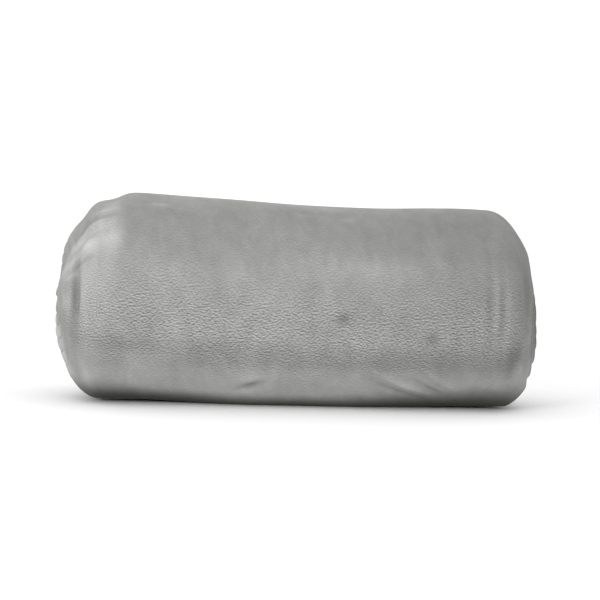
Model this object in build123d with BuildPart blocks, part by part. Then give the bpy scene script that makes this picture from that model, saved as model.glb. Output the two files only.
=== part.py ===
from build123d import *
from math import cos, degrees, pi, radians, sin
import os

os.makedirs("parts", exist_ok=True)

# A fleece throw folded in four across its width, then rolled up along its length.
# The roll lies on its side: X runs along the roll, +Y is its back, +Z is up, and the
# origin is on the surface it rests on, under the middle of its bounding box.
#
# The cloth between the folds makes four plies, numbered from the inside of the strip:
# 0 inner, 1 third, 2 second, 3 outer. Plies 0 and 3 join round the outer loop of the
# left edge and plies 1 and 2 round its inner loop; plies 2 and 3 join at the right edge,
# where plies 0 and 1 end in the two hemmed side edges of the cloth.

# Cloth, in millimetres
ply_pitch = 2.65        # thickness that one ply takes up in the roll
ply_gap = 0.3           # clear space between neighbouring plies
piece_gap = 0.2         # clear space between neighbouring lengths of one ply
hem_width = 12.0        # turned edge of the cloth
seam_width = 1.0        # width of the line of stitches that holds a hem

# Roll
strip_width = 336.0     # folded strip from the left edge's loop to the right edge's
core_radius = 3.8       # hollow that the innermost half turn leaves
flat_run = 10.0         # straight run at the top and bottom of each turn
half_turns = 12         # whole half turns under the loose end: even, so it lies at the back

# Loose end, in degrees down the back of the roll from its top
flap_angle = 20.0       # the strip lifts off the roll from here
tip_angle = 62.0        # and bends again here
end_angle = 108.0       # the hemmed end of the strip

# Care label, sewn in the end hem near the corner of the cloth
label_width = 30.0
label_drop = 32.0
label_thickness = 0.6
label_inset = 46.0      # from the right edge of the strip to the label
label_gap = 0.5         # from the end of the hem to the top of the label

plies = 4
ply_thickness = ply_pitch - ply_gap
strip_thickness = plies * ply_pitch
first_radius = core_radius + strip_thickness / 2
last_radius = first_radius + half_turns * strip_thickness / 2
left_edge = -strip_width / 2
right_edge = strip_width / 2
side_shift = -strip_thickness / 4
front_height = last_radius - ply_gap / 2     # the last front half turn touches the surface
back_height = front_height - strip_thickness / 2


def radius_of(half_turn):
    """Radius of the strip's middle line on one half turn."""
    return first_radius + half_turn * strip_thickness / 2


def centre_of(half_turn):
    """Centre of a half turn: even ones are at the back, odd ones at the front."""
    if half_turn % 2 == 0:
        return (side_shift + flat_run / 2, back_height)
    return (side_shift - flat_run / 2, front_height)


def arc_start(half_turn):
    """Direction of a half turn's first point: the top at the back, the bottom in front."""
    return 90.0 if half_turn % 2 == 0 else -90.0


def strip_point(half_turn, angle, offset):
    """Point on the strip, offset outwards from its middle line."""
    y, z = centre_of(half_turn)
    direction = radians(arc_start(half_turn) - angle)
    reach = radius_of(half_turn) + offset
    return (y + reach * cos(direction), z + reach * sin(direction))


def draw_side(start, end, offset):
    """One side of a stretch of the strip: half turns joined by straight runs."""
    for half_turn in range(start[0], end[0] + 1):
        first = start[1] if half_turn == start[0] else 0.0
        last = end[1] if half_turn == end[0] else 180.0
        reach = radius_of(half_turn) + offset
        CenterArc(centre_of(half_turn), reach, arc_start(half_turn) - first, first - last)
        if half_turn < end[0]:
            Line(strip_point(half_turn, 180.0, offset), strip_point(half_turn + 1, 0.0, offset))


def draw_stretch(start, end, low_ply, high_ply):
    """Outline of a stretch of the strip, from the inside of one ply to the outside of another."""
    inside = (low_ply - plies / 2) * ply_pitch + ply_gap / 2
    outside = (high_ply + 1 - plies / 2) * ply_pitch - ply_gap / 2
    draw_side(start, end, outside)
    draw_side(start, end, inside)
    Line(strip_point(*start, inside), strip_point(*start, outside))
    Line(strip_point(*end, inside), strip_point(*end, outside))


def turned(place, length):
    """A place on the same half turn, moved along the strip by a length."""
    half_turn, angle = place
    return (half_turn, angle + degrees(length / radius_of(half_turn)))


def save(piece, label):
    piece.part.label = label
    export_step(piece.part, f"parts/{label}.step")


def make_band(label, start, end, low_ply, high_ply, left, right):
    """A piece that keeps one section along the roll."""
    with BuildPart() as band:
        with BuildSketch(Plane.YZ.offset(left)):
            with BuildLine():
                draw_stretch(start, end, low_ply, high_ply)
            make_face()
        extrude(amount=right - left)
    save(band, label)


# Where the plies and loops lie along the roll
outer_loop = (left_edge, left_edge + ply_thickness)
inner_loop = (outer_loop[1] + ply_gap, outer_loop[1] + ply_gap + ply_thickness)
right_loop = (right_edge - ply_thickness, right_edge)
side_hem = (right_loop[0] - hem_width, right_loop[0])
side_seam = (side_hem[0] - piece_gap - seam_width, side_hem[0] - piece_gap)


def make_folded(label, start, end):
    """A short length of the whole strip: four plies joined round their three loops."""
    layout = [
        (0, 0, outer_loop[1], right_loop[0]),
        (1, 1, inner_loop[1], right_loop[0]),
        (2, 2, inner_loop[1], right_loop[0]),
        (3, 3, outer_loop[1], right_loop[0]),
        (0, 3, *outer_loop),
        (1, 2, *inner_loop),
        (2, 3, *right_loop),
    ]
    with BuildPart() as folded:
        for low_ply, high_ply, left, right in layout:
            with BuildSketch(Plane.YZ.offset(left)):
                with BuildLine():
                    draw_stretch(start, end, low_ply, high_ply)
                make_face()
            extrude(amount=right - left)
    save(folded, label)


def make_stretch(name, start, end):
    """Every piece of one stretch of the strip: plies, loops, side hems and their seams."""
    make_band(f"{name}_outer_ply", start, end, 3, 3, outer_loop[1] + piece_gap, right_loop[0] - piece_gap)
    make_band(f"{name}_second_ply", start, end, 2, 2, inner_loop[1] + piece_gap, right_loop[0] - piece_gap)
    make_band(f"{name}_third_ply", start, end, 1, 1, inner_loop[1] + piece_gap, side_seam[0] - piece_gap)
    make_band(f"{name}_inner_ply", start, end, 0, 0, outer_loop[1] + piece_gap, side_seam[0] - piece_gap)
    make_band(f"{name}_outer_left_fold", start, end, 0, 3, *outer_loop)
    make_band(f"{name}_inner_left_fold", start, end, 1, 2, *inner_loop)
    make_band(f"{name}_right_fold", start, end, 2, 3, *right_loop)
    for ply, side in enumerate(("inner", "third")):
        make_band(f"{name}_{side}_side_seam", start, end, ply, ply, *side_seam)
        make_band(f"{name}_{side}_side_hem", start, end, ply, ply, *side_hem)


# Places along the strip: (half turn, degrees round it)
strip_start = (0, 0.0)
start_hem_end = turned(strip_start, hem_width)
start_seam_from = turned(start_hem_end, piece_gap)
start_seam_end = turned(start_seam_from, seam_width)
roll_from = turned(start_seam_end, piece_gap)
roll_end = (half_turns, flap_angle)
flap_from = turned(roll_end, ply_gap)
flap_end = (half_turns, tip_angle)
tip_from = turned(flap_end, ply_gap)
strip_end = (half_turns, end_angle)
finish_hem_from = turned(strip_end, -hem_width)
finish_seam_end = turned(finish_hem_from, -piece_gap)
finish_seam_from = turned(finish_seam_end, -seam_width)
tip_end = turned(finish_seam_from, -piece_gap)

# The rolled part of the strip, from the hem at its core to where it lifts off
make_folded("start_hem", strip_start, start_hem_end)
make_folded("start_seam", start_seam_from, start_seam_end)
make_stretch("roll", roll_from, roll_end)

# The loose end, in two lengths that bend away from the roll, and its hem
make_stretch("flap", flap_from, flap_end)
make_stretch("tip", tip_from, tip_end)
make_folded("finish_seam", finish_seam_from, finish_seam_end)
make_folded("finish_hem", finish_hem_from, strip_end)

# The label hangs from the innermost ply of the end hem
hem_y, hem_z = strip_point(*turned(strip_end, label_gap), (0.5 - plies / 2) * ply_pitch)
label_x = right_edge - label_inset - label_width / 2
with BuildPart() as care_label:
    with BuildSketch(Plane.XY.offset(hem_z)):
        with Locations((label_x, hem_y)):
            Rectangle(label_width, label_thickness)
    extrude(amount=-label_drop)
save(care_label, "care_label")

# Hinge lines along X: each bend is at the outside of the strip, so that the cut opens
for name, place in (("flap", roll_end), ("tip", flap_end)):
    y, z = strip_point(*place, strip_thickness / 2 - ply_gap / 2)
    print(f"{name} hinge: y {y:.3f}, z {z:.3f}")
print(f"label hinge: y {hem_y:.3f}, z {hem_z:.3f}")
strip_length = sum(pi * radius_of(half_turn) + flat_run for half_turn in range(half_turns))
strip_length += radians(end_angle) * last_radius
print(f"strip length {strip_length:.0f}")
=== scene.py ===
from math import cos, pi, radians, sin

import bpy
import numpy as np
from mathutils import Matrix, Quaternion, Vector


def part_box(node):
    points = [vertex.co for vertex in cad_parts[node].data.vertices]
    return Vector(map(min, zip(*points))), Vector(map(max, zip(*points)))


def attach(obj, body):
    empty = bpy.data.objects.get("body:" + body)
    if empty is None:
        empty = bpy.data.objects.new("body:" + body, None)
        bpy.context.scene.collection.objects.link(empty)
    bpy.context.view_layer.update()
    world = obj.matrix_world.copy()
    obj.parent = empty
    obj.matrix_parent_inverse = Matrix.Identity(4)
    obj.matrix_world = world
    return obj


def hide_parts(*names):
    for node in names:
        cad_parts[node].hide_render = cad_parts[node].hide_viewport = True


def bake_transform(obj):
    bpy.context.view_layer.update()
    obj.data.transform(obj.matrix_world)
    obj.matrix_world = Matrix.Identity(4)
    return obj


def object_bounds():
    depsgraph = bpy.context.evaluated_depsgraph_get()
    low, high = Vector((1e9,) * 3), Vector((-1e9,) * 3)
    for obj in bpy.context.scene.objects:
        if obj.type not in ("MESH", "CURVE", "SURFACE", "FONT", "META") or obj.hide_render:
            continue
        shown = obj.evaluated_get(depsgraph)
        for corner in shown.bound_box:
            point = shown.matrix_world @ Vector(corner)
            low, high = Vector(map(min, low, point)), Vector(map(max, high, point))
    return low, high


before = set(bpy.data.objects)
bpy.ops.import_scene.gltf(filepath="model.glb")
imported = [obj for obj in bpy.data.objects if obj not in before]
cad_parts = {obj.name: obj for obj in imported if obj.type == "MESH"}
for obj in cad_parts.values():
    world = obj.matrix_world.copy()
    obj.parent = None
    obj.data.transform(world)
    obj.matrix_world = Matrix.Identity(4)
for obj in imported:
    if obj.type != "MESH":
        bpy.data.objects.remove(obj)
cad_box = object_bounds()

# A fleece throw, folded in four and rolled up. Its cloth has two coordinates, both in metres:
# across, along the folded section of the strip, and run, along the strip from the core of the
# roll to its loose end. A place in the strip is (x, out, run): x along the roll, and out
# outwards from the strip's middle line.

# Strip, as the frame's plies have it
PLY_PITCH = 0.00265
PLY_GAP = 0.0003
PLY_THICKNESS = PLY_PITCH - PLY_GAP
STRIP = 4 * PLY_PITCH
STRIP_WIDTH = cad_box[1].x - cad_box[0].x
FLAT_RUN = 0.010
CORE_RADIUS = 0.0038
HALF_TURNS = 12
CORE_HALF_TURNS = HALF_TURNS - 2        # the half turns that the last full turn covers
FLAP_ANGLE, TIP_ANGLE, END_ANGLE = (radians(a) for a in (20, 62, 108))
HEM_WIDTH = 0.012

FIRST_RADIUS = CORE_RADIUS + STRIP / 2
LAST_RADIUS = FIRST_RADIUS + HALF_TURNS * STRIP / 2
LEFT, RIGHT = -STRIP_WIDTH / 2, STRIP_WIDTH / 2
MIDDLE_Y = -STRIP / 4
FRONT_Z = LAST_RADIUS - PLY_GAP / 2
BACK_Z = FRONT_Z - STRIP / 2

HALF_TURN_RADII = FIRST_RADIUS + np.arange(HALF_TURNS + 1) * STRIP / 2
HALF_TURN_STARTS = np.concatenate(([0.0], np.cumsum(pi * HALF_TURN_RADII[:-1] + FLAT_RUN)))


def run_at(angle):
    """Place along the strip, by its angle down the back of the roll on the last half turn."""
    return HALF_TURN_STARTS[-1] + angle * LAST_RADIUS


def coil(out, run):
    """y and z of places in the coiled strip: half turns joined by short straight runs."""
    half_turn = np.clip(np.searchsorted(HALF_TURN_STARTS, run, side="right") - 1, 0, HALF_TURNS)
    radius = HALF_TURN_RADII[half_turn]
    travelled = run - HALF_TURN_STARTS[half_turn]
    back = half_turn % 2 == 0
    turn = np.minimum(travelled / radius, pi)
    straight = np.maximum(travelled - pi * radius, 0.0)
    angle = np.where(back, pi / 2, -pi / 2) - turn
    y = MIDDLE_Y + np.where(back, 1, -1) * (FLAT_RUN / 2 - straight) + (radius + out) * np.cos(angle)
    z = np.where(back, BACK_Z, FRONT_Z) + (radius + out) * np.sin(angle)
    return y, z


def smooth(low, high, value):
    t = np.clip((value - low) / (high - low), 0.0, 1.0)
    return t * t * (3 - 2 * t)


def swell(seed, shortest, longest, waves=14):
    """A smooth uneven field from -1 to 1, made of sines of seeded directions and lengths."""
    draw = np.random.default_rng(seed)
    direction = draw.normal(size=(waves, 3))
    direction /= np.linalg.norm(direction, axis=1)[:, None]
    length = shortest * (longest / shortest) ** draw.random(waves)
    phase = draw.random(waves) * 2 * pi

    def field(x, y, z):
        total = np.zeros_like(x)
        for (a, b, c), size, start in zip(direction, length, phase):
            total += np.sin((a * x + b * y + c * z) * 2 * pi / size + start)
        return total / (0.5 * waves) ** 0.5 / 2

    return field


# How the rolled cloth settles. Each end is a dome: depth along the roll, and how far round it
# (in radians) the outermost turn reaches, over and under the axis.
ROLL_RADIUS = 0.0755
AXIS_Z = 0.0705
SAG = 0.0042            # how far the underside is pressed flat
PACKING = 0.993         # how much shorter the roll is than the strip's full width
HALF_LENGTH = RIGHT * PACKING
DOME_TOP = {-1: 0.050, 1: 0.036}
DOME_LOW = {-1: 0.031, 1: 0.024}
REACH_TOP, REACH_LOW = 0.77, 0.60
TAPER = 0.032           # the left end is rolled looser than the right
WAIST = 0.0030          # how much slimmer the middle is on top
WAIST_X, WAIST_REACH = 0.002, 0.085
END_LIFT = {-1: 0.0042, 1: 0.0030}      # how far the ends rise off the surface
LIFT_FROM, LIFT_TO = 0.025, 0.125       # and from where to where along the roll
LONG_WAVE, SHORT_WAVE = 0.0009, 0.0005  # undulations of the outermost turn
UNEVEN = 0.0018                         # how unevenly the turns end
OUTERMOST = 0.99                        # no place counts as further out than this share of the radius
long_swell = swell(3, 0.09, 0.22)
short_swell = swell(8, 0.028, 0.06)
end_swell = swell(21, 0.03, 0.07)

# Marks on the outside of the roll: x, angle round it from the back over the top (front 180),
# half sizes along x and round the roll, depth (inwards), and slant
SHOULDER = (
    (-0.1290, 98, 0.0085, 0.034, 0.0046, 0.0),       # step across the left shoulder
    (-0.1420, 96, 0.0070, 0.030, -0.0008, 0.0),      # and the ridge beyond it
    (-0.1500, 96, 0.0045, 0.024, 0.0016, 0.0),
    (0.1350, 226, 0.0110, 0.006, -0.0014, 0.30),     # bulge low on the right
)
CREASES = (
    (-0.1510, 172, 0.0020, 0.0240, 0.0022, 0.0),     # valley where the outer turn meets the next
    (-0.1460, 170, 0.0030, 0.0260, -0.0010, 0.0),
    (-0.1410, 124, 0.0100, 0.0024, 0.0022, 0.10),    # pinch creases on the shoulder
    (-0.1430, 130, 0.0130, 0.0026, -0.0016, 0.06),
    (-0.1460, 136, 0.0110, 0.0024, 0.0020, -0.16),
    (-0.1440, 142, 0.0100, 0.0024, -0.0012, -0.10),
    (-0.1520, 146, 0.0060, 0.0022, 0.0014, -0.50),
    (-0.0960, 118, 0.0090, 0.0022, 0.0010, 0.10),
    (0.0255, 183, 0.0050, 0.0044, 0.0020, 0.0),      # finger dimples
    (0.0860, 192, 0.0046, 0.0044, 0.0016, 0.0),
    (-0.0335, 224, 0.0080, 0.0036, 0.0024, -0.45),   # scuff under the front
    (0.0700, 221, 0.0200, 0.0026, -0.0020, 0.62),    # slanting folds low on the right
    (0.0680, 227, 0.0200, 0.0028, 0.0020, 0.62),
    (0.0930, 218, 0.0130, 0.0026, -0.0020, 0.85),
    (0.0880, 225, 0.0130, 0.0028, 0.0018, 0.80),
    (0.1240, 172, 0.0022, 0.0280, 0.0010, 0.0),      # soft upright folds near the right end
    (0.1285, 176, 0.0020, 0.0240, -0.0008, 0.0),
    (0.1325, 178, 0.0018, 0.0240, 0.0012, 0.0),
    (0.1370, 175, 0.0020, 0.0220, -0.0008, 0.0),
    (0.1510, 164, 0.0036, 0.0260, 0.0018, 0.0),
)
CREASE_SHADE = 95.0     # painted shade: how much darker the colour is made in a crease, for each metre of its depth


def depth_of(marks, x, angle):
    """Depth of some marks on the outer turn at x and an angle in radians."""
    depth = np.zeros_like(x)
    for mark_x, mark_angle, half_x, half_round, deep, slant in marks:
        away_x = x - mark_x
        away_round = (angle - radians(mark_angle)) * ROLL_RADIUS - slant * away_x
        depth += deep * np.exp(-(away_x / half_x) ** 2 - (away_round / half_round) ** 2)
    return depth


def end_lift(x):
    """How far the underside is off the surface, along the roll."""
    return np.where(x < 0, END_LIFT[-1], END_LIFT[1]) * smooth(LIFT_FROM, LIFT_TO, np.abs(x))


def settle(points):
    """Moves places of the plain coil to where the soft, resting roll has them."""
    x, y, z = points.T.copy()
    dy, dz = y - MIDDLE_Y, z - AXIS_Z
    distance = np.hypot(dy, dz)
    angle = np.arctan2(dz, dy) % (2 * pi)
    share = distance / ROLL_RADIUS
    side = np.where(x < 0, -1.0, 1.0)
    top = smooth(-0.9, 0.8, dz / np.maximum(distance, 1e-6))
    # The outermost turn bends round the dome of the end, and the inner ones fill it
    dome = np.where(x < 0, DOME_LOW[-1] + (DOME_TOP[-1] - DOME_LOW[-1]) * top,
                    DOME_LOW[1] + (DOME_TOP[1] - DOME_LOW[1]) * top)
    reach = REACH_LOW + (REACH_TOP - REACH_LOW) * top
    past = np.clip((np.abs(x) * PACKING - HALF_LENGTH + dome) / dome, 0.0, 1.02)
    bend = past * reach
    depth_here = 1 - np.sqrt(1 - np.minimum(share * np.cos(reach), OUTERMOST) ** 2)
    back = dome * (past - np.sin(bend)) * depth_here / (1 - np.sin(reach))
    uneven = UNEVEN * end_swell(x * 0.5, y, z) * past ** 3
    rest_x = x * PACKING - side * (back - uneven)
    # Loose and tight places, undulations and marks, all fading out towards the core
    lift = LONG_WAVE * long_swell(x, y, z) + SHORT_WAVE * short_swell(x * 0.6, y, z)
    waist = WAIST * np.exp(-((x - WAIST_X) / WAIST_REACH) ** 4) * top
    lift -= depth_of(SHOULDER + CREASES, rest_x, angle) + waist
    distance = distance * np.cos(bend) + lift * share ** 4
    dy, dz = distance * np.cos(angle), distance * np.sin(angle)
    # The underside is pressed flat on the surface it rests on
    rest = AXIS_Z - SAG
    depth = np.sqrt(np.maximum(AXIS_Z ** 2 - dy ** 2, 0.25 * rest ** 2))
    dz = np.where(dz < 0, dz * np.minimum(1.0, rest / depth), dz)
    looseness = 1 - TAPER * x / RIGHT
    rest_z = (dz + rest) * looseness + end_lift(x) * (1 - top)
    return np.stack([rest_x, dy * looseness + MIDDLE_Y, np.maximum(rest_z, 0.0)], axis=1)


def settled(x, out, run):
    """Resting places of points given in the strip's own terms."""
    y, z = coil(out, run)
    return settle(np.stack([x, y, z], axis=1))


def add_mesh(name, points, faces, material, coordinates=None):
    """A smooth mesh object. coordinates are the cloth's (across, run) at each point."""
    mesh = bpy.data.meshes.new(name)
    mesh.from_pydata(points.tolist(), [], faces)
    mesh.polygons.foreach_set("use_smooth", np.ones(len(mesh.polygons), bool))
    if coordinates is not None:
        layer = mesh.uv_layers.new(name="cloth")
        corner = np.empty(len(mesh.loops), int)
        mesh.loops.foreach_get("vertex_index", corner)
        layer.data.foreach_set("uv", coordinates[corner].astype(np.float32).ravel())
    mesh.materials.append(material)
    mesh.validate()
    mesh.update()
    piece = bpy.data.objects.new(name, mesh)
    bpy.context.scene.collection.objects.link(piece)
    return piece


def grid_faces(rows, columns, closed=False):
    """Quads of a grid of points, row by row. A closed grid joins each row's end to its start."""
    index = np.arange(rows * columns).reshape(rows, columns)
    if closed:
        index = np.concatenate([index, index[:, :1]], axis=1)
    a, b = index[:-1, :-1], index[:-1, 1:]
    c, d = index[1:, 1:], index[1:, :-1]
    return np.stack([a, d, c, b], axis=-1).reshape(-1, 4).tolist()


# The strip's folded section: four plies, joined on the left by two loops and on the right by one.
# The loops are pressed, so they are flatter than half circles.
PLY_OUT = (-0.0052, -0.00170, 0.00170, 0.0052)
OUTER_NOSE, INNER_NOSE, RIGHT_NOSE = 0.0014, 0.0008, 0.0011
NOSE_ROUNDNESS, SIDE_ROUNDNESS = 0.55, 0.75     # 1 is a round loop, and less is a squarer one
OUTER_POINTS, INNER_POINTS, RIGHT_POINTS = 13, 7, 9
LOOP_X = LEFT + OUTER_NOSE
RIGHT_LOOP_X = RIGHT - RIGHT_NOSE
HEM_INNER_X = RIGHT - PLY_THICKNESS - HEM_WIDTH


def loop_points(centre_x, centre_out, long, high, first, last, count):
    """A pressed loop, from one angle to another, without its two ends."""
    points = []
    for angle in np.radians(np.linspace(first, last, count + 2)[1:-1]):
        ahead, up = cos(angle), sin(angle)
        points.append((centre_x + long * np.sign(ahead) * abs(ahead) ** NOSE_ROUNDNESS,
                       centre_out + high * np.sign(up) * abs(up) ** SIDE_ROUNDNESS))
    return points


def folded_section(outer_step, inner_step):
    """Points (x, out) of the section and how far across the cloth each one is."""

    def straight(start, end, out, step):
        count = max(2, round(abs(end - start) / step) + 1)
        return [(x, out) for x in np.linspace(start, end, count)]

    inner, third, second, outer = PLY_OUT
    mean, half = (outer + second) / 2, (outer - second) / 2
    section = straight(HEM_INNER_X, LOOP_X, inner, inner_step)
    section += loop_points(LOOP_X, 0.0, OUTER_NOSE, outer, 270, 90, OUTER_POINTS)
    section += straight(LOOP_X, RIGHT_LOOP_X, outer, outer_step)
    section += loop_points(RIGHT_LOOP_X, mean, RIGHT_NOSE, half, 90, -90, RIGHT_POINTS)
    section += straight(RIGHT_LOOP_X, LOOP_X, second, inner_step)
    section += loop_points(LOOP_X, 0.0, INNER_NOSE, second, 90, 270, INNER_POINTS)
    section += straight(LOOP_X, HEM_INNER_X, third, inner_step)
    section = np.array(section)
    across = np.concatenate(([0.0], np.cumsum(np.linalg.norm(np.diff(section, axis=0), axis=1))))
    return section, across + HEM_WIDTH


def add_attribute(piece, name, values):
    layer = piece.data.attributes.new(name, "FLOAT", "POINT")
    layer.data.foreach_set("value", values.astype(np.float32))


nap_swell = swell(5, 0.03, 0.12)
relief_swell = swell(14, 0.02, 0.09)

# Painted light and shade round the roll (degrees from the back over the top), and along it, where it is
# partly painted shade and partly how light the pile lies
PAINTED_LIGHT_ROUND = (
    (0, 0.88), (95, 0.89), (126, 0.79), (146, 0.82), (160, 0.92), (182, 0.97), (194, 1.03), (201, 0.90),
    (208, 0.84), (214, 0.98), (221, 1.16), (229, 1.36), (240, 1.42), (255, 1.30), (300, 1.0), (360, 0.88),
)
LIE_AND_PAINTED_SHADE_ALONG = ((-0.17, 1.02), (-0.10, 1.02), (0.02, 1.0), (0.07, 0.91), (0.13, 0.86), (0.17, 0.83))
LIE_UNEVEN = 0.03

# Painted shadow and shade: the pile's colour is darkened near the surface the roll rests on, up to a height
# that changes along the roll, and in the grooves between the turns' folds, though not in front of the left
# end
CONTACT_SHADE = 0.97
CONTACT_HEIGHT = (
    (-0.170, 0.0205), (-0.145, 0.0175), (-0.125, 0.0152), (-0.105, 0.0122), (-0.040, 0.0104),
    (0.020, 0.0112), (0.060, 0.0142), (0.100, 0.0152), (0.130, 0.0206),
)
GROOVE_SHADE = 0.55
OPEN_GROOVE_SHADE = 0.12
OPEN_GROOVE_Y = (-0.015, 0.025)

# The pile stands in ripples across the front and a little at the back, and lies smooth elsewhere
FRONT_FROM, FRONT_TO = (radians(148), radians(188)), (radians(199), radians(221))
BACK_FROM = (radians(75), radians(35))
EARLY_LEFT, EARLY_RIGHT = radians(4), radians(3)        # the ripples sit higher towards the ends
EARLY_FROM, EARLY_TO = 0.05, 0.12
SMOOTH_RELIEF, FRONT_RELIEF, BACK_RELIEF, UNEVEN_RELIEF = 0.22, 0.80, 0.35, 0.10
NAP_AND_PAINTED_LIGHT_LIMITS, RELIEF_LIMITS = (0.05, 2.0), (0.05, 1.2)
NAP_AND_PAINTED_LIGHT_STORED = 0.5        # nap and painted light are stored at half their value, which keeps them between 0 and 1

# Painted light and shade on the shoulders, folds and dimples, small painted highlights, and places where
# the pile is brushed to lie lighter or darker: x, angle, half sizes, lightness
BRUSHED_AND_PAINTED_LIGHT = (
    (-0.1370, 138, 0.0150, 0.020, 0.36),
    (-0.1390, 120, 0.0110, 0.008, 0.24),
    (-0.1530, 131, 0.0060, 0.007, 0.40),
    (-0.1350, 144, 0.0110, 0.007, 0.20),
    (-0.1400, 134, 0.0100, 0.0024, 0.22),
    (-0.1400, 126, 0.0110, 0.0018, -0.22),
    (-0.1350, 119, 0.0080, 0.0018, 0.20),
    (-0.1480, 151, 0.0060, 0.0024, -0.20),
    (-0.1560, 157, 0.0040, 0.0030, 0.28),
    (-0.1400, 166, 0.0040, 0.0200, 0.12),
    (-0.1590, 178, 0.0030, 0.0100, 0.22),
    (-0.1300, 158, 0.0050, 0.018, 0.10),
    (-0.1600, 145, 0.0060, 0.012, 0.40),
    (-0.1500, 142, 0.0080, 0.008, 0.24),
    (-0.1430, 120, 0.0060, 0.006, -0.30),
    (-0.1500, 127, 0.0050, 0.004, -0.22),
    (-0.1530, 172, 0.0024, 0.024, -0.38),
    (-0.1470, 172, 0.0030, 0.026, 0.14),
    (-0.1590, 192, 0.0060, 0.014, -0.16),
    (-0.1560, 226, 0.0090, 0.020, -0.40),
    (-0.1270, 196, 0.0340, 0.007, -0.16),
    (-0.1150, 207, 0.0300, 0.007, 0.14),
    (-0.0650, 197, 0.0200, 0.007, -0.12),
    (-0.1240, 216, 0.0280, 0.007, 0.10),
    (0.0200, 214, 0.1300, 0.008, 0.13),
    (-0.1300, 110, 0.0050, 0.010, 0.20),
    (-0.0975, 117, 0.0070, 0.0016, 0.24),
    (0.1000, 221, 0.0450, 0.0060, 0.14),
    (0.0255, 182, 0.0036, 0.0036, -0.16),
    (0.0860, 192, 0.0036, 0.0036, -0.10),
    (-0.0315, 224, 0.0060, 0.0034, -0.16),
    (-0.0335, 217, 0.0100, 0.0034, 0.10),
    (0.0300, 120, 0.0050, 0.0024, 0.14),
    (0.0020, 118, 0.0080, 0.0018, 0.10),
    (0.0180, 150, 0.0030, 0.0100, 0.10),
    (0.1420, 200, 0.0048, 0.0110, -0.28),
    (0.1470, 210, 0.0040, 0.0090, 0.26),
    (0.1520, 168, 0.0045, 0.0240, -0.10),
    (0.0300, 155, 0.0500, 0.0090, 0.08),
)


# Where the strip stops being covered by its next turn
LAST_TURN = HALF_TURN_STARTS[CORE_HALF_TURNS]
COVERED_RUN = (LAST_TURN + 0.09, LAST_TURN + 0.12)


def groove(x, out, run):
    """How deep a place is in the groove between two turns' folds, on the ends of the roll."""
    middle, half = (PLY_OUT[3] + PLY_OUT[2]) / 2, (PLY_OUT[3] - PLY_OUT[2]) / 2
    left = np.where(x < LOOP_X, np.abs(out) / PLY_OUT[3], 0.0)
    right = np.where(x > RIGHT_LOOP_X, np.abs(out - middle) / half, 0.0)
    covered = 1 - smooth(*COVERED_RUN, run)
    return np.clip(left + right, 0.0, 1.0) ** 3 * np.where(out > 0, covered, 1.0)


def paint_light_and_brush(piece, shade=0.0):
    """Records on a piece its painted light and shade with how light the pile lies, as
    nap_and_painted_light, and relief, how rippled it is.
    """
    points = np.array([v.co for v in piece.data.vertices])
    x, y, z = points.T
    angle = np.arctan2(z - AXIS_Z + SAG, y - MIDDLE_Y) % (2 * pi)
    # Painted light and shade round the roll, and along it partly painted shade
    nap_and_painted_light = np.interp(np.degrees(angle), *np.array(PAINTED_LIGHT_ROUND, float).T)
    nap_and_painted_light = nap_and_painted_light * np.interp(x, *np.array(LIE_AND_PAINTED_SHADE_ALONG, float).T) + LIE_UNEVEN * nap_swell(x, y, z)
    # Painted light, shade and highlights, with patches of brushed pile
    for mark_x, mark_angle, half_x, half_round, light in BRUSHED_AND_PAINTED_LIGHT:
        away_round = (angle - radians(mark_angle)) * ROLL_RADIUS
        nap_and_painted_light += light * np.exp(-((x - mark_x) / half_x) ** 4 - (away_round / half_round) ** 2)
    # Painted shade in the creases
    nap_and_painted_light -= CREASE_SHADE * depth_of(CREASES, x, angle)
    # Painted shadow near the surface the roll rests on
    shaded = np.interp(x, *np.array(CONTACT_HEIGHT).T)
    nap_and_painted_light *= 1 - CONTACT_SHADE * (1 - smooth(-0.001, shaded, z - end_lift(x)))
    # Painted shade in the grooves between the turns' folds, less in front of the left end
    hidden = OPEN_GROOVE_SHADE + (1 - OPEN_GROOVE_SHADE) * smooth(*OPEN_GROOVE_Y, y)
    nap_and_painted_light *= 1 - shade * np.where(x < 0, hidden, 1.0)
    early = EARLY_LEFT * smooth(-EARLY_FROM, -EARLY_TO, x) + EARLY_RIGHT * smooth(EARLY_FROM, EARLY_TO, x)
    front = smooth(*FRONT_FROM, angle + early) * (1 - smooth(*FRONT_TO, angle + early))
    relief = SMOOTH_RELIEF + FRONT_RELIEF * front + BACK_RELIEF * smooth(*BACK_FROM, angle)
    relief += UNEVEN_RELIEF * relief_swell(x, y, z)
    add_attribute(piece, "nap_and_painted_light", NAP_AND_PAINTED_LIGHT_STORED * np.clip(nap_and_painted_light, *NAP_AND_PAINTED_LIGHT_LIMITS))
    add_attribute(piece, "relief", np.clip(relief, *RELIEF_LIMITS))


def even_runs(first, last, step):
    return np.linspace(first, last, round((last - first) / step) + 1)


def add_cloth(name, runs, outer_step, inner_step, material):
    """The folded cloth of one stretch of the strip, with a row of points at each of the runs."""
    section, across = folded_section(outer_step, inner_step)
    run = np.repeat(runs, len(section))
    x, out = np.tile(section, (len(runs), 1)).T
    coordinates = np.stack([np.tile(across, len(runs)), run], axis=1)
    points = settled(x, out, run)
    piece = add_mesh(name, points, grid_faces(len(runs), len(section)), material, coordinates)
    # The groove's depth sets its painted shade
    paint_light_and_brush(piece, GROOVE_SHADE * groove(x, out, run))
    return piece


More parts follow.
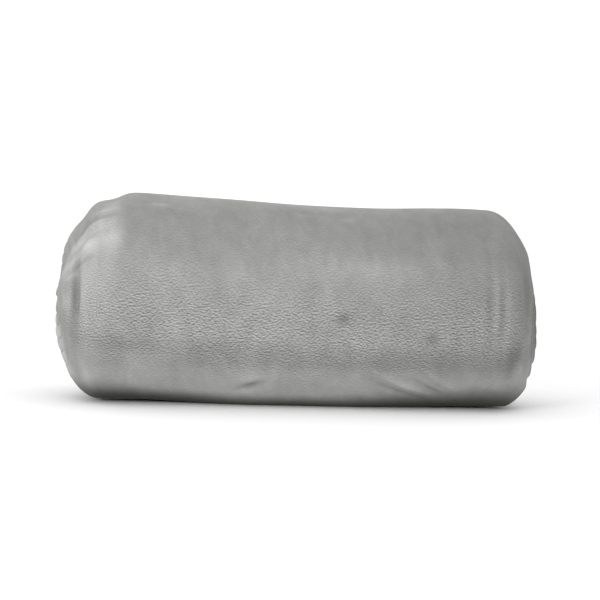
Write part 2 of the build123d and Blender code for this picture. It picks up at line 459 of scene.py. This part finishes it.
# Hems, and the rows of stitches that hold them
HEM_HALF_THICKNESS = 0.0013
BAR_SIDES = 20                          # points round a hem's section
BAR_EDGE_ROUNDNESS, BAR_FACE_ROUNDNESS = 0.4, 0.8
HEM_OVERLAP = 0.0003                    # how far a side hem is sewn over the cloth beside it
HEM_OUT = {"inner": PLY_OUT[0] + 0.0009, "third": PLY_OUT[1] + 0.0006}
HEM_EDGE_X = RIGHT - 0.0024             # where an end hem stops at the strip's open edge
HEM_STEPS = (0.003, 0.004)              # spacing of an end hem's points on the outer ply and the others
STITCH_PITCH = 0.0036
STITCH_HALF_LENGTH, STITCH_RADIUS = 0.0015, 0.00038
STITCH_RINGS = ((-1.0, 0.15), (-0.8, 0.8), (0.8, 0.8), (1.0, 0.15))     # along it, and how thick
STITCH_SIDES = 6
SIDE_SEAM_X = HEM_INNER_X - 0.0007
SIDE_SEAM_OUT = {"inner": PLY_OUT[0] - 0.0002, "third": PLY_OUT[1] - 0.0002}
END_SEAM_AWAY = 0.0012                  # from an end hem to its row of stitches
END_SEAM_OUT = (PLY_OUT[3] + 0.0003, PLY_OUT[0] - 0.0003)


def rounded_bar(half_wide, half_thick):
    """Points of a flat bar's section with rounded edges."""
    turns = np.arange(BAR_SIDES) * 2 * pi / BAR_SIDES
    wide, thick = np.cos(turns), np.sin(turns)
    return np.stack([half_wide * np.sign(wide) * np.abs(wide) ** BAR_EDGE_ROUNDNESS,
                     half_thick * np.sign(thick) * np.abs(thick) ** BAR_FACE_ROUNDNESS], axis=1)


def capped_faces(rows, columns):
    """A closed grid with its two ends filled."""
    last = (rows - 1) * columns
    caps = [list(range(columns)), list(range(last + columns - 1, last - 1, -1))]
    return grid_faces(rows, columns, closed=True) + caps


def add_side_hem(name, side, first, last, step, material):
    """The turned side edge of the cloth along one stretch of the strip."""
    bar = rounded_bar(HEM_WIDTH / 2 + HEM_OVERLAP, HEM_HALF_THICKNESS)
    centre = HEM_INNER_X + HEM_WIDTH / 2
    runs = even_runs(first, last, step)
    run = np.repeat(runs, len(bar))
    x = centre + np.tile(bar[:, 0], len(runs))
    out = HEM_OUT[side] + np.tile(bar[:, 1], len(runs))
    piece = add_mesh(name, settled(x, out, run), capped_faces(len(runs), len(bar)), material,
                     np.stack([x, run], axis=1))
    paint_light_and_brush(piece)
    return piece


def section_normals(section):
    """Unit normals of the folded section, in the (x, out) plane."""
    along = np.gradient(section, axis=0)
    along /= np.linalg.norm(along, axis=1)[:, None]
    return np.stack([-along[:, 1], along[:, 0]], axis=1)


def add_end_hem(name, first, last, material):
    """The turned end of the cloth: a flat bar that follows the folded section."""
    section, across = folded_section(*HEM_STEPS)
    section = np.concatenate([[[HEM_EDGE_X, PLY_OUT[0]]], section, [[HEM_EDGE_X, PLY_OUT[1]]]])
    across = np.concatenate([[0.0], across, [across[-1] + HEM_WIDTH]])
    bar = rounded_bar((last - first) / 2, HEM_HALF_THICKNESS)
    run = (first + last) / 2 + np.tile(bar[:, 0], len(section))
    outwards = np.repeat(section_normals(section), len(bar), axis=0)
    places = np.repeat(section, len(bar), axis=0) + outwards * np.tile(bar[:, 1:], (len(section), 1))
    points = settled(places[:, 0], places[:, 1], run)
    piece = add_mesh(name, points, capped_faces(len(section), len(bar)), material,
                     np.stack([np.repeat(across, len(bar)), run], axis=1))
    paint_light_and_brush(piece)
    return piece


def add_stitches(name, x, out, run, ahead_x, ahead_run, material):
    """A row of stitches: a small capsule at each place, pointing ahead."""
    turns = np.arange(STITCH_SIDES) * 2 * pi / STITCH_SIDES
    xs, outs, runs, faces = [], [], [], []
    for index, (stitch_x, stitch_out, stitch_run) in enumerate(zip(x, out, run)):
        for place, size in STITCH_RINGS:
            along = place * STITCH_HALF_LENGTH
            sideways = size * STITCH_RADIUS * np.cos(turns)
            xs.append(stitch_x + ahead_x * along + ahead_run * sideways)
            runs.append(stitch_run + ahead_run * along + ahead_x * sideways)
            outs.append(stitch_out + size * STITCH_RADIUS * np.sin(turns))
        first_point = index * len(STITCH_RINGS) * STITCH_SIDES
        capsule = capped_faces(len(STITCH_RINGS), STITCH_SIDES)
        faces += [[point + first_point for point in face] for face in capsule]
    x, out, run = (np.concatenate(part) for part in (xs, outs, runs))
    return add_mesh(name, settled(x, out, run), faces, material, np.stack([x, run], axis=1))


# Materials
FLEECE_LIGHTNESS = 0.242
PILE_ROOT, PILE_TIP = (0.011, 0.0118, 0.001, 1), (0.99, 0.99, 1.0, 1)
GRAIN_SLANT = radians(7)
# Ripples in the pile: size across and along the cloth, detail, roughness and distortion
RIPPLE = (0.0018, 0.0012, 3.0, 0.65, 0.1)
RIPPLE_AHEAD = 0.0005
THREAD_DARK, THREAD_LIGHT = (0.24, 0.24, 0.235, 1), (0.42, 0.42, 0.41, 1)
SATIN_DARK, SATIN_LIGHT = (0.66, 0.66, 0.63, 1), (0.84, 0.84, 0.82, 1)


class Wire:
    """A shader socket that is used in Python expressions: each operator adds a Math node."""

    def __init__(self, shader, socket):
        self.shader, self.socket = shader, socket

    def _math(self, operation, *values):
        return self.shader.node("ShaderNodeMath", {"operation": operation}, dict(enumerate(values)))

    def __add__(self, other):
        return self._math("ADD", self, other)

    def __radd__(self, other):
        return self._math("ADD", other, self)

    def __sub__(self, other):
        return self._math("SUBTRACT", self, other)

    def __rsub__(self, other):
        return self._math("SUBTRACT", other, self)

    def __mul__(self, other):
        return self._math("MULTIPLY", self, other)

    def __rmul__(self, other):
        return self._math("MULTIPLY", other, self)


class Shader:
    """A material whose nodes are added one call at a time."""

    def __init__(self, name, **constants):
        self.material = bpy.data.materials.new(name)
        self.material.use_nodes = True
        self.tree = self.material.node_tree
        self.surface = self.tree.nodes["Principled BSDF"]
        for socket, value in constants.items():
            self.surface.inputs[socket.replace("_", " ")].default_value = value

    def node(self, kind, settings=None, values=None, result=0):
        """A new node: its settings first, then the values or wires of its sockets."""
        made = self.tree.nodes.new(kind)
        for key, value in (settings or {}).items():
            setattr(made, key, value)
        for key, value in (values or {}).items():
            self.feed(made.inputs[key], value)
        return Wire(self, made.outputs[result])

    def feed(self, socket, value):
        if isinstance(value, Wire):
            self.tree.links.new(value.socket, socket)
        else:
            socket.default_value = value

    def set(self, socket, value):
        self.feed(self.surface.inputs[socket], value)

    def cloth(self):
        """The cloth's own coordinates, across and along it in metres."""
        return self.node("ShaderNodeUVMap", {"uv_map": "cloth"})

    def attribute(self, name):
        return self.node("ShaderNodeAttribute", {"attribute_name": name}, result="Fac")

    def set_colour(self, share, dark, light):
        """Base colour from a dark one at share 0 to a light one at share 1."""
        mixed = self.node("ShaderNodeMix", {"data_type": "RGBA"}, {0: share, 6: dark, 7: light}, result=2)
        self.set("Base Color", mixed)

    def set_bump(self, height, strength, distance):
        values = {"Strength": strength, "Distance": distance, "Height": height}
        self.set("Normal", self.node("ShaderNodeBump", None, values))


def make_fleece():
    shader = Shader("fleece", Roughness=0.95, Sheen_Weight=0.12, Sheen_Roughness=0.5,
                    Sheen_Tint=(0.96, 0.97, 0.95, 1), Specular_IOR_Level=0.08)
    cloth, nap_and_painted_light, relief = shader.cloth(), shader.attribute("nap_and_painted_light"), shader.attribute("relief")

    def noise(across, along, detail, rough, distortion=0.0, ahead=0.0):
        """Noise of a given grain across the cloth and along it, in metres, read a little ahead."""
        values = {"Vector": cloth, "Location": (0, -ahead, 0), "Rotation": (0, 0, GRAIN_SLANT)}
        spread = shader.node("ShaderNodeMapping", {"vector_type": "TEXTURE"},
                             {**values, "Scale": (across, along, 1)})
        return shader.node("ShaderNodeTexNoise", {"noise_dimensions": "2D"},
                           {"Vector": spread, "Scale": 1.0, "Detail": detail, "Roughness": rough,
                            "Distortion": distortion})

    ripples = noise(*RIPPLE)
    # Painted light and shade: one side of each ripple lighter and the other darker
    painted_ripple_light = ripples - noise(*RIPPLE, ahead=RIPPLE_AHEAD)
    fibres = noise(0.0009, 0.0006, 2.0, 0.6)
    smudges = noise(0.020, 0.034, 4.0, 0.6, 0.6)
    wisps = noise(0.009, 0.013, 3.0, 0.6, 0.3)
    # Painted light and shade with the pile's own lie, mottled by smudges and wisps
    lie_and_painted_light = nap_and_painted_light * (1 / NAP_AND_PAINTED_LIGHT_STORED) * (1.0 + 0.36 * (smudges - 0.5) + 0.26 * (wisps - 0.5))
    # Painted light and shade on the ripples, crests lighter than hollows, over the painted light and shade
    # of the pile
    tone = lie_and_painted_light * (1.0 + relief * (2.50 * painted_ripple_light + 0.85 * (ripples - 0.5)) + 0.16 * (fibres - 0.5))
    shader.set_colour(FLEECE_LIGHTNESS * tone, PILE_ROOT, PILE_TIP)
    shader.set_bump(relief * ripples + 0.12 * fibres + 0.2 * smudges, strength=0.6, distance=0.0007)
    return shader.material


def make_thread():
    shader = Shader("sewing_thread", Roughness=0.55, Sheen_Weight=0.2, Specular_IOR_Level=0.4)
    twist = shader.node("ShaderNodeTexWave", {"wave_type": "BANDS", "bands_direction": "DIAGONAL"},
                        {"Vector": shader.cloth(), "Scale": 900.0, "Distortion": 1.0})
    shader.set_colour(twist, THREAD_DARK, THREAD_LIGHT)
    shader.set_bump(twist, strength=0.5, distance=0.0002)
    return shader.material


def make_satin():
    shader = Shader("label_satin", Roughness=0.38, Sheen_Weight=0.15, Specular_IOR_Level=0.5)
    cloth = shader.cloth()
    warp = shader.node("ShaderNodeTexWave", {"wave_type": "BANDS", "bands_direction": "X"},
                       {"Vector": cloth, "Scale": 700.0, "Distortion": 0.6, "Detail": 1.0})
    cloudy = shader.node("ShaderNodeTexNoise", None, {"Vector": cloth, "Scale": 160.0, "Detail": 3.0})
    shader.set_colour(0.6 * warp + 0.4 * cloudy, SATIN_DARK, SATIN_LIGHT)
    shader.set_bump(warp, strength=0.3, distance=0.0001)
    return shader.material


fleece, thread, satin = make_fleece(), make_thread(), make_satin()

# Stretches of the strip. A stretch begins ahead of its bend.
BEND_BEFORE, BEND_AFTER, BEND_MARGIN = radians(3), radians(14), radians(12)
LAP = 0.004             # how far a change in the cloth lies ahead of a half turn's start
core_end = LAST_TURN - LAP
flap_start = run_at(FLAP_ANGLE - BEND_MARGIN)
tip_start = run_at(TIP_ANGLE - BEND_MARGIN)
strip_end = run_at(END_ANGLE)
HEM_LAP = 0.0004        # how far the last cloth runs into its hem
cloth_start, cloth_end = HEM_WIDTH, strip_end - HEM_WIDTH + HEM_LAP

STRETCHES = {
    "core": (cloth_start, core_end),
    "roll": (core_end, flap_start),
    "flap": (flap_start, tip_start),
    "tip": (tip_start, cloth_end),
}


def bend_points(angle):
    """Two points of the strip's middle line, before and after the hinge at an angle."""
    y, z = coil(np.zeros(2), np.array([run_at(angle - BEND_BEFORE), run_at(angle + BEND_AFTER)]))
    return [(0.0, float(a), float(b)) for a, b in zip(y, z)]


def fasten(piece, stretch):
    """Makes a piece of the core or roll follow the roll's body; a piece of the flap or tip is left
    unattached.
    """
    if stretch == "flap":
        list(bend_points(FLAP_ANGLE))
        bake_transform(piece)
    elif stretch == "tip":
        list(bend_points(TIP_ANGLE))
        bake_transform(piece)
    else:
        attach(piece, "roll")


# Spacing of the cloth's points: along the strip, across its outer ply, and across the others.
# The front of the outermost turn is finer, and other rows keep clear of its own.
CLOTH_STEPS = {"core": (0.004, 0.012, 0.012), "roll": (0.0030, 0.0015, 0.014),
               "flap": (0.0017, 0.0020, 0.006), "tip": (0.0017, 0.0020, 0.006)}
FRONT_STEP, FRONT_CLEAR = 0.0014, 0.001
FRONT_RUNS = (HALF_TURN_STARTS[HALF_TURNS - 1] - LAP, HALF_TURN_STARTS[HALF_TURNS] + 0.002)
PLIES = ("outer_ply", "second_ply", "third_ply", "inner_ply",
         "outer_left_fold", "inner_left_fold", "right_fold")


def cloth_runs(stretch, first, last):
    """Where the rows of a stretch's points lie along the strip."""
    runs = even_runs(first, last, CLOTH_STEPS[stretch][0])
    if stretch != "roll":
        return runs
    front, back = FRONT_RUNS
    fine = even_runs(front, back, FRONT_STEP)
    return np.concatenate([runs[runs < front - FRONT_CLEAR], fine, runs[runs > back + FRONT_CLEAR]])


def stitch_places(first, last):
    """Evenly spaced places for the stitches of a row."""
    return first + STITCH_PITCH / 2 + np.arange(int((last - first) / STITCH_PITCH)) * STITCH_PITCH


def add_stretch(stretch, first, last):
    """The folded cloth of one stretch of the strip, with its two side hems and their stitches."""
    step, outer_step, inner_step = CLOTH_STEPS[stretch]
    cloth = add_cloth(f"{stretch}_cloth", cloth_runs(stretch, first, last), outer_step, inner_step, fleece)
    fasten(cloth, stretch)
    last - first
    if stretch != "core":
        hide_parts(*(f"{stretch}_{ply}" for ply in PLIES))
    for side in ("inner", "third"):
        hem = add_side_hem(f"{stretch}_{side}_side_hem_cloth", side, first, last, step, fleece)
        fasten(hem, stretch)
        last - first
        places = stitch_places(first, last)
        x, out = np.full(len(places), SIDE_SEAM_X), np.full(len(places), SIDE_SEAM_OUT[side])
        row = add_stitches(f"{stretch}_{side}_side_stitches", x, out, places, 0, 1, thread)
        fasten(row, stretch)
        if stretch != "core":
            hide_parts(f"{stretch}_{side}_side_hem")
            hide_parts(f"{stretch}_{side}_side_seam")


def add_strip_end(end, body, first, last, seam):
    """The hem across one end of the strip, and its stitches on both sides of the strip."""
    hem = add_end_hem(f"{end}_hem_cloth", first, last, fleece)
    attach(hem, body)
    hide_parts(f"{end}_hem")
    places = stitch_places(LOOP_X, RIGHT_LOOP_X)
    out = np.repeat(END_SEAM_OUT, len(places))
    row = add_stitches(f"{end}_stitches", np.tile(places, 2), out, np.full(len(out), seam), 1, 0, thread)
    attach(row, body)
    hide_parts(f"{end}_seam")


for stretch, (first, last) in STRETCHES.items():
    add_stretch(stretch, first, last)
add_strip_end("start", "roll", 0.0, cloth_start, cloth_start + END_SEAM_AWAY)
add_strip_end("finish", "tip", cloth_end, strip_end, cloth_end - END_SEAM_AWAY)

# Care label
LABEL_ROWS, LABEL_COLUMNS = 26, 14      # rows of points on each half, and points across it
LABEL_HALF_THICKNESS = 0.0003
LABEL_SPREAD = 0.0007                   # how far its two halves part above the fold
LABEL_WAVE = 0.0008                     # how far it waves from side to side
LABEL_CURL = 0.0016                     # how far its lower edge curls towards the roll


def add_label():
    """A blank satin label, folded in half, that hangs from the innermost ply of the end hem."""
    low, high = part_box("care_label")
    x = (low.x + high.x) / 2
    sewn = settled(np.array([x]), np.array([PLY_OUT[0] + 0.001]), np.array([strip_end - 0.002]))[0]
    half_wide, drop = (high.x - low.x) / 2, high.z - low.z
    down, wide = np.meshgrid(np.linspace(0, 2, 2 * LABEL_ROWS), np.linspace(-1, 1, LABEL_COLUMNS),
                             indexing="ij")
    down, wide = down.ravel(), wide.ravel()
    depth = 1 - np.abs(1 - down)
    spread = LABEL_SPREAD * np.sqrt(np.clip(depth, 0, 1)) * smooth(1.0, 0.9, depth)
    half = np.where(down < 1, 1.0, -1.0) * (LABEL_HALF_THICKNESS + spread)
    wave = LABEL_WAVE * np.sin(wide * 2.1 + 0.5) * depth
    curl = wave - LABEL_CURL * depth ** 2 * (1 + 0.6 * wide)
    points = np.stack([x + half_wide * wide, sewn[1] + half + curl, sewn[2] + 0.001 - drop * depth], axis=1)
    label = add_mesh("care_label_satin", points, grid_faces(2 * LABEL_ROWS, LABEL_COLUMNS), satin,
                     np.stack([half_wide * wide, drop * down], axis=1))
    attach(label, "care_label")
    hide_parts("care_label")


add_label()


# Floor, light and camera
FLOOR_SIZE, FLOOR_GREY = 12.0, 0.86
WORLD_STRENGTH = 1.18
LENS, CAMERA_DISTANCE = 125.0, 1.46
CAMERA_TARGET = Vector((0.0025, 0.0, 0.0712))
AZIMUTH, ELEVATION, TILT = radians(-5), radians(3), radians(1.7)


def add_floor():
    bpy.ops.mesh.primitive_plane_add(size=FLOOR_SIZE)
    floor = bpy.context.object
    floor.name = "floor"
    shader = Shader("floor_paint", Roughness=0.85, Base_Color=(FLOOR_GREY, FLOOR_GREY, FLOOR_GREY, 1))
    floor.data.materials.append(shader.material)


def add_light(name, place, target, size, power):
    light = bpy.data.lights.new(name, "AREA")
    light.shape, light.size, light.energy = "DISK", size, power
    lamp = bpy.data.objects.new(name, light)
    lamp.location = place
    lamp.rotation_euler = (Vector(target) - Vector(place)).to_track_quat("-Z", "Y").to_euler()
    bpy.context.scene.collection.objects.link(lamp)


def add_camera():
    back = Vector((sin(AZIMUTH) * cos(ELEVATION), -cos(AZIMUTH) * cos(ELEVATION), sin(ELEVATION)))
    data = bpy.data.cameras.new("camera")
    data.lens = LENS
    camera = bpy.data.objects.new("camera", data)
    camera.location = CAMERA_TARGET + back * CAMERA_DISTANCE
    camera.rotation_mode = "QUATERNION"
    camera.rotation_quaternion = Quaternion(back, TILT) @ (-back).to_track_quat("-Z", "Y")
    bpy.context.scene.collection.objects.link(camera)
    bpy.context.scene.camera = camera


def add_world():
    world = bpy.data.worlds.new("studio")
    world.use_nodes = True
    background = world.node_tree.nodes["Background"]
    background.inputs["Color"].default_value = (1, 1, 1, 1)
    background.inputs["Strength"].default_value = WORLD_STRENGTH
    bpy.context.scene.world = world
    bpy.context.scene.view_settings.view_transform = "Standard"


add_floor()
add_world()
add_light("key", place=(-1.3, -2.0, 0.75), target=(0, 0, 0.07), size=0.9, power=30.0)
add_camera()
